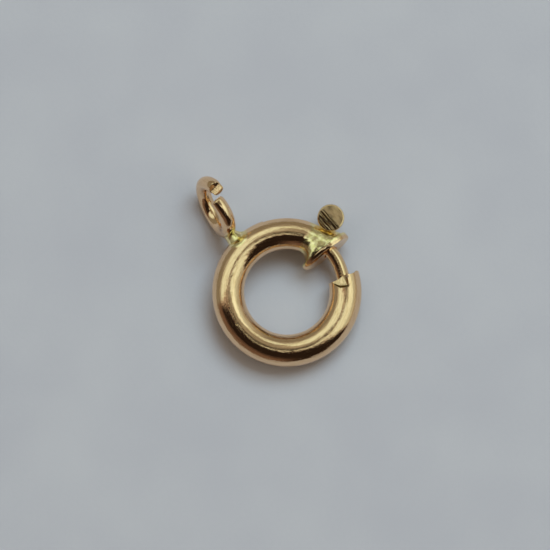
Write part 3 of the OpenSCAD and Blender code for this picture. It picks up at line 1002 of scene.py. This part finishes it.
bolt_angle = np.linspace(BOLT_TIP, BOLT_END, BOLT_ROWS)
bow_turn = np.radians((bolt_angle - BOW_MIDDLE) * BOW_WAVES)
bow = BOW * np.cos(bow_turn) * smooth(bolt_angle, 34, 14)
tick_turn = np.radians(bolt_angle) * MEAN_R * 2 * np.pi / TICK_LONG
ticks = TICK_HIGH * np.cos(tick_turn) * smooth(bolt_angle, 8, 4)
bolt_size = BOLT_R + (HEEL_R - BOLT_R) * smooth(bolt_angle, HEEL_FROM, HEEL_TO) + ticks
bolt_line = ring_xyz(MEAN_R + bow, bolt_angle, 0.0)
bolt_points, bolt_centres = tube_along(bolt_line, bolt_size, BOLT_COLS, round_ends=(0.35, 0.1))
bolt_faces = grid_faces(*bolt_points.shape[:2])
bolt_along = way_along(bolt_centres)[:, None]
bolt_uv = around_map(bolt_faces, bolt_along, steps_round(BOLT_COLS) * BOLT_R, 2 * np.pi * BOLT_R)
bolt_wire = make_piece(
    "bolt_wire", bolt_points, bolt_faces, wire_gold, "sliding_bolt", bolt_uv
)
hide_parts("bolt")

# %% [markdown]
# ## The knob
#
# The knob is a short stem with a rounded head, soldered on a thin post that comes out through the
# slot. Its head has been cut with pliers into a low roof: one half is smooth and bright, the
# other is steeper and scored by the jaws. The cut end is a disc whose height follows the roof,
# less the grooves, and the side below it is a profile of radius against height.

# %% The knob's cut end as a height over a disc
KNOB_FACE_R, KNOB_TOP, KNOB_AT_R, KNOB_ANGLE = 0.80, 1.15, 5.72, 19.4
KNOB_RIDGE, KNOB_LEAN, KNOB_COLS, DISC_ROWS = -106.0, 2.0, 240, 64
BRIGHT_FALL, SCORED_FALL, RIDGE_SOFT, DENTS_DEEP = 9, 12, 0.02, 0.012
STEP_WIDE, STEP_DEEP, STEP_FALLS = 0.14, 0.026, 0.88


def roof(x, y):
    """Height of the cut end: x is along the ridge, and y across it, bright on its positive side.
    The roof is a hyperbola, so its ridge is soft. The jaws have left steps on the steep half, like
    a saw's teeth: each falls slowly and rises fast, and their line wavers with x and y."""
    slope = np.where(y > 0, np.tan(np.radians(BRIGHT_FALL)), np.tan(np.radians(SCORED_FALL)))
    plain = RIDGE_SOFT - np.sqrt((y * slope) ** 2 + RIDGE_SOFT**2)
    waver = 0.035 * np.sin(17 * y + 1.5 * x) + 0.006 * np.sin(7 * x + 2)
    score = (y + 0.06 * x + waver) / STEP_WIDE
    which, share = np.floor(score), score % 1
    depth = STEP_DEEP * (0.6 + 0.7 * np.sin(37.7 * which + 1) * np.cos(4.1 * x + 5.0 * which))
    step = np.where(share < STEP_FALLS, share / STEP_FALLS, (1 - share) / (1 - STEP_FALLS)) - 1
    dents = DENTS_DEEP * np.sin(5.1 * x + 1.3) * np.sin(6.3 * y + 0.4) * smooth(y, -0.02, 0.1)
    return plain + dents + depth * step * smooth(y, 0.03, -0.06)


knob_turn = steps_round(KNOB_COLS)
reach = np.linspace(0, 1, DISC_ROWS)[:, None] ** 0.85 * KNOB_FACE_R
disc_z = roof(reach * np.cos(knob_turn), reach * np.sin(knob_turn))
top_z = KNOB_TOP - RIDGE_SOFT + disc_z
print("the cut end falls by", round(float(np.ptp(disc_z)), 3), "mm")

# %% [markdown]
# Close under the cut the side follows its slanting rim, so the profile there is a radius against a
# depth under the rim. Further down it is a radius against a height, the same all round.

# %% The knob's side
RIM_SIDE = np.array(
    [(0.825, 0.008), (0.850, 0.022), (0.875, 0.049), (0.893, 0.090), (0.905, 0.150)]
)
HEAD_SIDE = [(0.895, 0.66), (0.862, 0.60), (0.820, 0.54), (0.775, 0.47), (0.735, 0.40)]
STEM_SIDE = [(0.675, 0.30), (0.660, 0.18), (0.655, 0.05), (0.655, -0.85)]
FOOT_SIDE = [(0.635, -0.92), (0.590, -0.95), (0.3, -0.95), (0.0, -0.95)]

low_side = np.array(HEAD_SIDE + STEM_SIDE + FOOT_SIDE)
rim_z = top_z[-1]
side_r = np.concatenate([RIM_SIDE[:, :1], low_side[:, :1]])
side_z = np.concatenate([rim_z - RIM_SIDE[:, 1:], low_side[:, 1:] + 0 * rim_z])
knob_r = np.concatenate([reach, side_r])
height = np.concatenate([top_z, side_z])
ridge_out = across(KNOB_ANGLE + KNOB_RIDGE)
ridge_side = across(KNOB_ANGLE + KNOB_RIDGE + 90)
knob_x, knob_y = knob_r * np.cos(knob_turn), knob_r * np.sin(knob_turn)
lean_out = across(KNOB_ANGLE) * np.tan(np.radians(KNOB_LEAN))
knob_points = (
    ring_xyz(KNOB_AT_R, KNOB_ANGLE, 0.0)
    + knob_x[..., None] * ridge_out
    + knob_y[..., None] * ridge_side
    + height[..., None] * (np.array([0, 0, 1.0]) + lean_out)
)
knob_faces = grid_faces(*knob_points.shape[:2])
on_top = np.arange(len(height))[:, None] < DISC_ROWS + len(RIM_SIDE)
knob_along = np.where(on_top, knob_x, height)
knob_around = np.where(on_top, knob_y, knob_turn * KNOB_FACE_R)
knob_uv = around_map(knob_faces, knob_along, knob_around, 2 * np.pi * KNOB_FACE_R)
print("the knob has", len(side_r), "rows of points on its side")

# %% [markdown]
# The cut has laid bare metal that was never polished. So the knob's gold is a little paler and
# duller than the tube's, and darker in its lines.

# %% The knob's finish, and the finished knob
knob_gold = gold(
    "filed_knob_gold",
    colour=(0.95, 0.71, 0.43, 1),
    deep=(0.45, 0.29, 0.13, 1),
    shine=0.16,
    spacing=0.05,
    lines_high=0.0010,
    waver_high=0.006,
    streaks_high=0.006,
)
knob = make_piece(
    "knob", knob_points, knob_faces, knob_gold, "sliding_bolt", knob_uv, sharp=45
)
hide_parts("trigger")

# %% [markdown]
# The post joins the knob to the bolt. Only a little of it shows, in the slot, so it is a plain
# round wire that ends inside both.

# %% The post under the knob
POST_R, POST_COLS, POST_ROWS = 0.33, 40, 24
POST_FROM, POST_TO = MEAN_R + 0.30, KNOB_AT_R - 0.2
post_line = ring_xyz(np.linspace(POST_FROM, POST_TO, POST_ROWS), KNOB_ANGLE, 0.0)
post_points, _ = tube_along(post_line, POST_R, POST_COLS, round_ends=(0.02, 0.02))
post_faces = grid_faces(*post_points.shape[:2])
post_along = np.linalg.norm(post_points.mean(axis=1), axis=-1)[:, None]
post_uv = around_map(post_faces, post_along, steps_round(POST_COLS) * POST_R, 2 * np.pi * POST_R)
make_piece(
    "knob_post", post_points, post_faces, wire_gold, "sliding_bolt", post_uv
)

# %% [markdown]
# ## The spring
#
# The coil is steel wire wound round a path that itself goes round the ring. One end leans on the
# bolt's heel and the other on the stop. When the bolt comes back, the coil closes up between
# them, but here it is built once, as it lies at rest, and belongs to neither body.

# %% The coil
COIL_R, COIL_WIRE_R, COIL_TURNS, COIL_FROM, COIL_TO = 0.6, 0.1, 13, 35.15, 156.6
COIL_COLS, TURN_STEPS, HEEL_BACK = 12, 32, 33.3
STEEL_COLOURS = ((0.55, 0.53, 0.50, 1), (0.36, 0.33, 0.29, 1))

t = np.linspace(0, 1, COIL_TURNS * TURN_STEPS + 1)
wind = 2 * np.pi * COIL_TURNS * t
coil_angle = COIL_FROM + (COIL_TO - COIL_FROM) * t
coil_line = ring_xyz(MEAN_R + COIL_R * np.cos(wind), coil_angle, COIL_R * np.sin(wind))
coil_points, _ = tube_along(coil_line, COIL_WIRE_R, COIL_COLS, round_ends=(0.2, 0.2))
steel, tree, shader = new_finish("spring_steel_wire")
grain = noise(tree, add(tree, "ShaderNodeTexCoord").outputs["Object"], 9000.0, 3.0)
feed(tree, shader.inputs["Base Color"], blend_colours(tree, grain, *STEEL_COLOURS))
feed(tree, shader.inputs["Roughness"], fade(tree, grain, 0.3, 0.7, 0.22, 0.40))
coil_faces = grid_faces(*coil_points.shape[:2])
coil = make_piece("coil_spring", coil_points, coil_faces, steel, None)
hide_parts("spring")
stop_end, heel_end = lying(ring_xyz(MEAN_R, np.array([STOP_FROM, HEEL_BACK]), 0.0))
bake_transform(coil)

# %% [markdown]
# ## The table, the camera and the light
#
# The clasp lies on a pale matt surface, whose colour has faint clouds in it and whose grain gives
# it a soft tooth. The camera looks along the ring's axis from above.

# %% The table
FLOOR_HALF, GRAIN_HIGH = 1.5, 0.02
TABLE_COLOURS = ((0.50, 0.485, 0.50, 1), (0.54, 0.525, 0.53, 1))

bpy.ops.mesh.primitive_plane_add(size=2 * FLOOR_HALF, location=(0, 0, cad_box[0][2]))
floor = bpy.context.object
floor.name = "table_top"
paper = bpy.data.materials.new("pale_table")
paper.use_nodes = True
tree = paper.node_tree
shader = tree.nodes["Principled BSDF"]
on_table = add(tree, "ShaderNodeTexCoord").outputs["Object"]
clouds = noise(tree, on_table, 130.0)
fibres = noise(tree, on_table, 3000.0, 4.0, 0.7)
shade = plus(tree, times(tree, clouds, 0.7), times(tree, fibres, 0.3))
table_colour = blend_colours(tree, fade(tree, shade, 0.3, 0.7), *TABLE_COLOURS)
grain_ends = {"Height": fibres, "Strength": 0.4, "Distance": GRAIN_HIGH * MM}
feed(tree, shader.inputs["Base Color"], table_colour)
feed(tree, shader.inputs["Roughness"], fade(tree, fibres, 0.3, 0.7, 0.7, 0.9))
feed(tree, shader.inputs["Normal"], add(tree, "ShaderNodeBump", grain_ends).outputs[0])
floor.data.materials.append(paper)
print("the table lies at", round(floor.location.z / MM, 3), "mm")

# %% The camera
PIXEL, FRAME_PIXELS, CAMERA_AWAY, SENSOR = 0.0668 * MM, 550, 0.30, 36.0
RING_AT = np.array([286.8, 292.0])

view_from = turned @ np.array([0, 0, 1.0])
to_right, to_top = turned @ across(-40.0), turned @ across(50.0)
camera_data = bpy.data.cameras.new("camera")
camera_data.sensor_width = SENSOR
camera_data.lens = SENSOR * CAMERA_AWAY / (PIXEL * FRAME_PIXELS)
camera_data.clip_start, camera_data.clip_end = 0.01, 10.0
camera = bpy.data.objects.new("camera", camera_data)
bpy.context.scene.collection.objects.link(camera)
from_middle = RING_AT - FRAME_PIXELS / 2
aside = -from_middle[0] * PIXEL * to_right + from_middle[1] * PIXEL * to_top
matrix = np.eye(4)
matrix[:3, 0], matrix[:3, 1], matrix[:3, 2] = to_right, to_top, view_from
matrix[:3, 3] = view_from * CAMERA_AWAY + aside
camera.matrix_world = Matrix(matrix.tolist())
bpy.context.scene.camera = camera
print("lens", round(camera_data.lens, 1), "mm")

# %% [markdown]
# Polished metal shows its surroundings, so the studio is part of the picture. Overhead there is
# the dark camera, round it the bright ceiling, and on the lower side a dark screen. They are
# worked out from the direction that is looked in: p is its angle away from the camera's axis in
# degrees, and px and py share that angle out to the picture's right and to its top.

# %% Directions in the studio
DEGREES = 57.2958
world = bpy.data.worlds.new("studio")
bpy.context.scene.world = world
world.use_nodes = True
sky = world.node_tree
direction = add(sky, "ShaderNodeTexCoord").outputs["Generated"]


def towards(axis):
    """How far the direction goes along an axis of the picture."""
    ends = {0: direction, 1: tuple(axis)}
    return add(sky, "ShaderNodeVectorMath", ends, operation="DOT_PRODUCT").outputs["Value"]


def root_of_squares(first, second):
    """The length of the long side of a triangle with these two short sides."""
    return calc(sky, "SQRT", plus(sky, times(sky, first, first), times(sky, second, second)))


x, y, z = towards(to_right), towards(to_top), towards(view_from)
p = times(sky, calc(sky, "ARCCOSINE", z), DEGREES)
stretch = calc(sky, "DIVIDE", p, calc(sky, "MAXIMUM", root_of_squares(x, y), 0.001))
px, py = times(sky, x, stretch), times(sky, y, stretch)

# %% The ceiling and what hangs in front of it: middles and half sizes in degrees
BRIGHT_PANEL = (38, 12, 16, 16)
CAMERA_BODY = (8.0, 18.0, 21.0, 21.0)
BESIDE_BODY = (-11.0, 29.0, 9.0, 9.0)
LENS = (2.5, 6.5, 8.0, 6.5)


def hump(value, middle, width):
    """A bell curve, exp(-((value - middle) / width)^2)."""
    off = calc(sky, "DIVIDE", calc(sky, "SUBTRACT", value, middle), width)
    return calc(sky, "EXPONENT", times(sky, off, off, -1.0))


def distance(middle_x, middle_y, wide, high):
    """How far a direction lies from a middle, in units of an oval's half sizes."""
    dx = calc(sky, "DIVIDE", calc(sky, "SUBTRACT", px, middle_x), wide)
    dy = calc(sky, "DIVIDE", calc(sky, "SUBTRACT", py, middle_y), high)
    return root_of_squares(dx, dy)


panel = times(sky, hump(distance(*BRIGHT_PANEL), 0, 1), 0.22)
ceiling = plus(sky, fade(sky, p, 62.0, 44.0, 0.24, 0.98), panel)
body = fade(sky, distance(*CAMERA_BODY), 0.93, 1.07, 0.30, 1.0)
beside = times(sky, hump(distance(*BESIDE_BODY), 0, 1), 0.6)
body = calc(sky, "MINIMUM", plus(sky, body, beside), 1.0)
lens = fade(sky, distance(*LENS), 0.7, 1.3, 0.25, 1.0)
wall_light = times(sky, fade(sky, x, 0.3, 0.8), hump(p, 66.0, 16.0), 0.35)
glow = plus(sky, times(sky, ceiling, body, lens), wall_light)

# %% [markdown]
# The screen is dark, with only a faint light low down on it. It fills the picture's lower side up
# to two slanting edges, and its mask is the product of both and of a fade towards the horizon.
# What the gold mirrors stays a cool or a warm white, while the light that falls on the table is
# tinted through the Light Path node, so that shadows on the table look warm.

# %% The screen, and the colour of the light
SCREEN_GLOW, LOW_GLOW = 0.02, 0.13
DIM_LIGHT, FULL_LIGHT = (1.0, 0.98, 0.80, 1), (0.85, 1.02, 0.89, 1)
SCREEN_TINT, TABLE_TINT = (1.0, 0.66, 0.5, 1), (1.14, 0.88, 0.84, 1)

left_part = fade(sky, calc(sky, "SUBTRACT", py, times(sky, px, 0.21)), 6.0, -2.5)
left_reach = fade(sky, px, 0.0, -4.0, 0.0, -6.0)
right_edge = plus(sky, times(sky, px, 0.2), times(sky, calc(sky, "MINIMUM", px, 33.0), 0.5))
right_part = fade(sky, plus(sky, py, left_reach, right_edge), -4.0, -10.0)
screen = times(sky, left_part, right_part, fade(sky, p, 96.0, 76.0))
low_glow = times(sky, fade(sky, p, 48.0, 66.0), fade(sky, px, 18.0, -18.0), LOW_GLOW)
dark = times(sky, screen, plus(sky, SCREEN_GLOW, low_glow))
glow = plus(sky, times(sky, glow, calc(sky, "SUBTRACT", 1.0, screen)), dark)
colour = blend_colours(sky, fade(sky, glow, 0.3, 0.8), DIM_LIGHT, FULL_LIGHT)
colour = blend_colours(sky, screen, colour, SCREEN_TINT)
warm = blend_colours(sky, 1.0, colour, TABLE_TINT, "MULTIPLY")
on_matt = add(sky, "ShaderNodeLightPath").outputs["Is Diffuse Ray"]
feed(sky, sky.nodes["Background"].inputs["Color"], blend_colours(sky, on_matt, colour, warm))
feed(sky, sky.nodes["Background"].inputs["Strength"], glow)
print("the studio has", len(sky.nodes), "nodes")

# %% [markdown]
# One soft lamp gives the table its light and the clasp its faint shadow. The gold doesn't mirror
# it, because the bright ceiling already stands for it there.

# %% A soft key light
LAMP_RIGHT, LAMP_TOP, LAMP_UP = 0.20, 0.52, 0.75
lamp_data = bpy.data.lights.new("ceiling_panel", "AREA")
lamp_data.shape, lamp_data.size, lamp_data.size_y = "RECTANGLE", 0.62, 0.45
lamp_data.energy = 5.5
lamp_data.color = (0.71, 0.99, 1.2)
lamp = bpy.data.objects.new("ceiling_panel", lamp_data)
bpy.context.scene.collection.objects.link(lamp)
lamp_at = Vector((to_top * LAMP_TOP + to_right * LAMP_RIGHT + view_from * LAMP_UP).tolist())
lamp.location = lamp_at
lamp.rotation_euler = lamp_at.to_track_quat("Z", "Y").to_euler()
lamp.visible_glossy = False
lamp.visible_camera = False
print("lamp at", [round(value, 3) for value in lamp_at])

# %% Colours as they are
bpy.context.scene.view_settings.view_transform = "Standard"
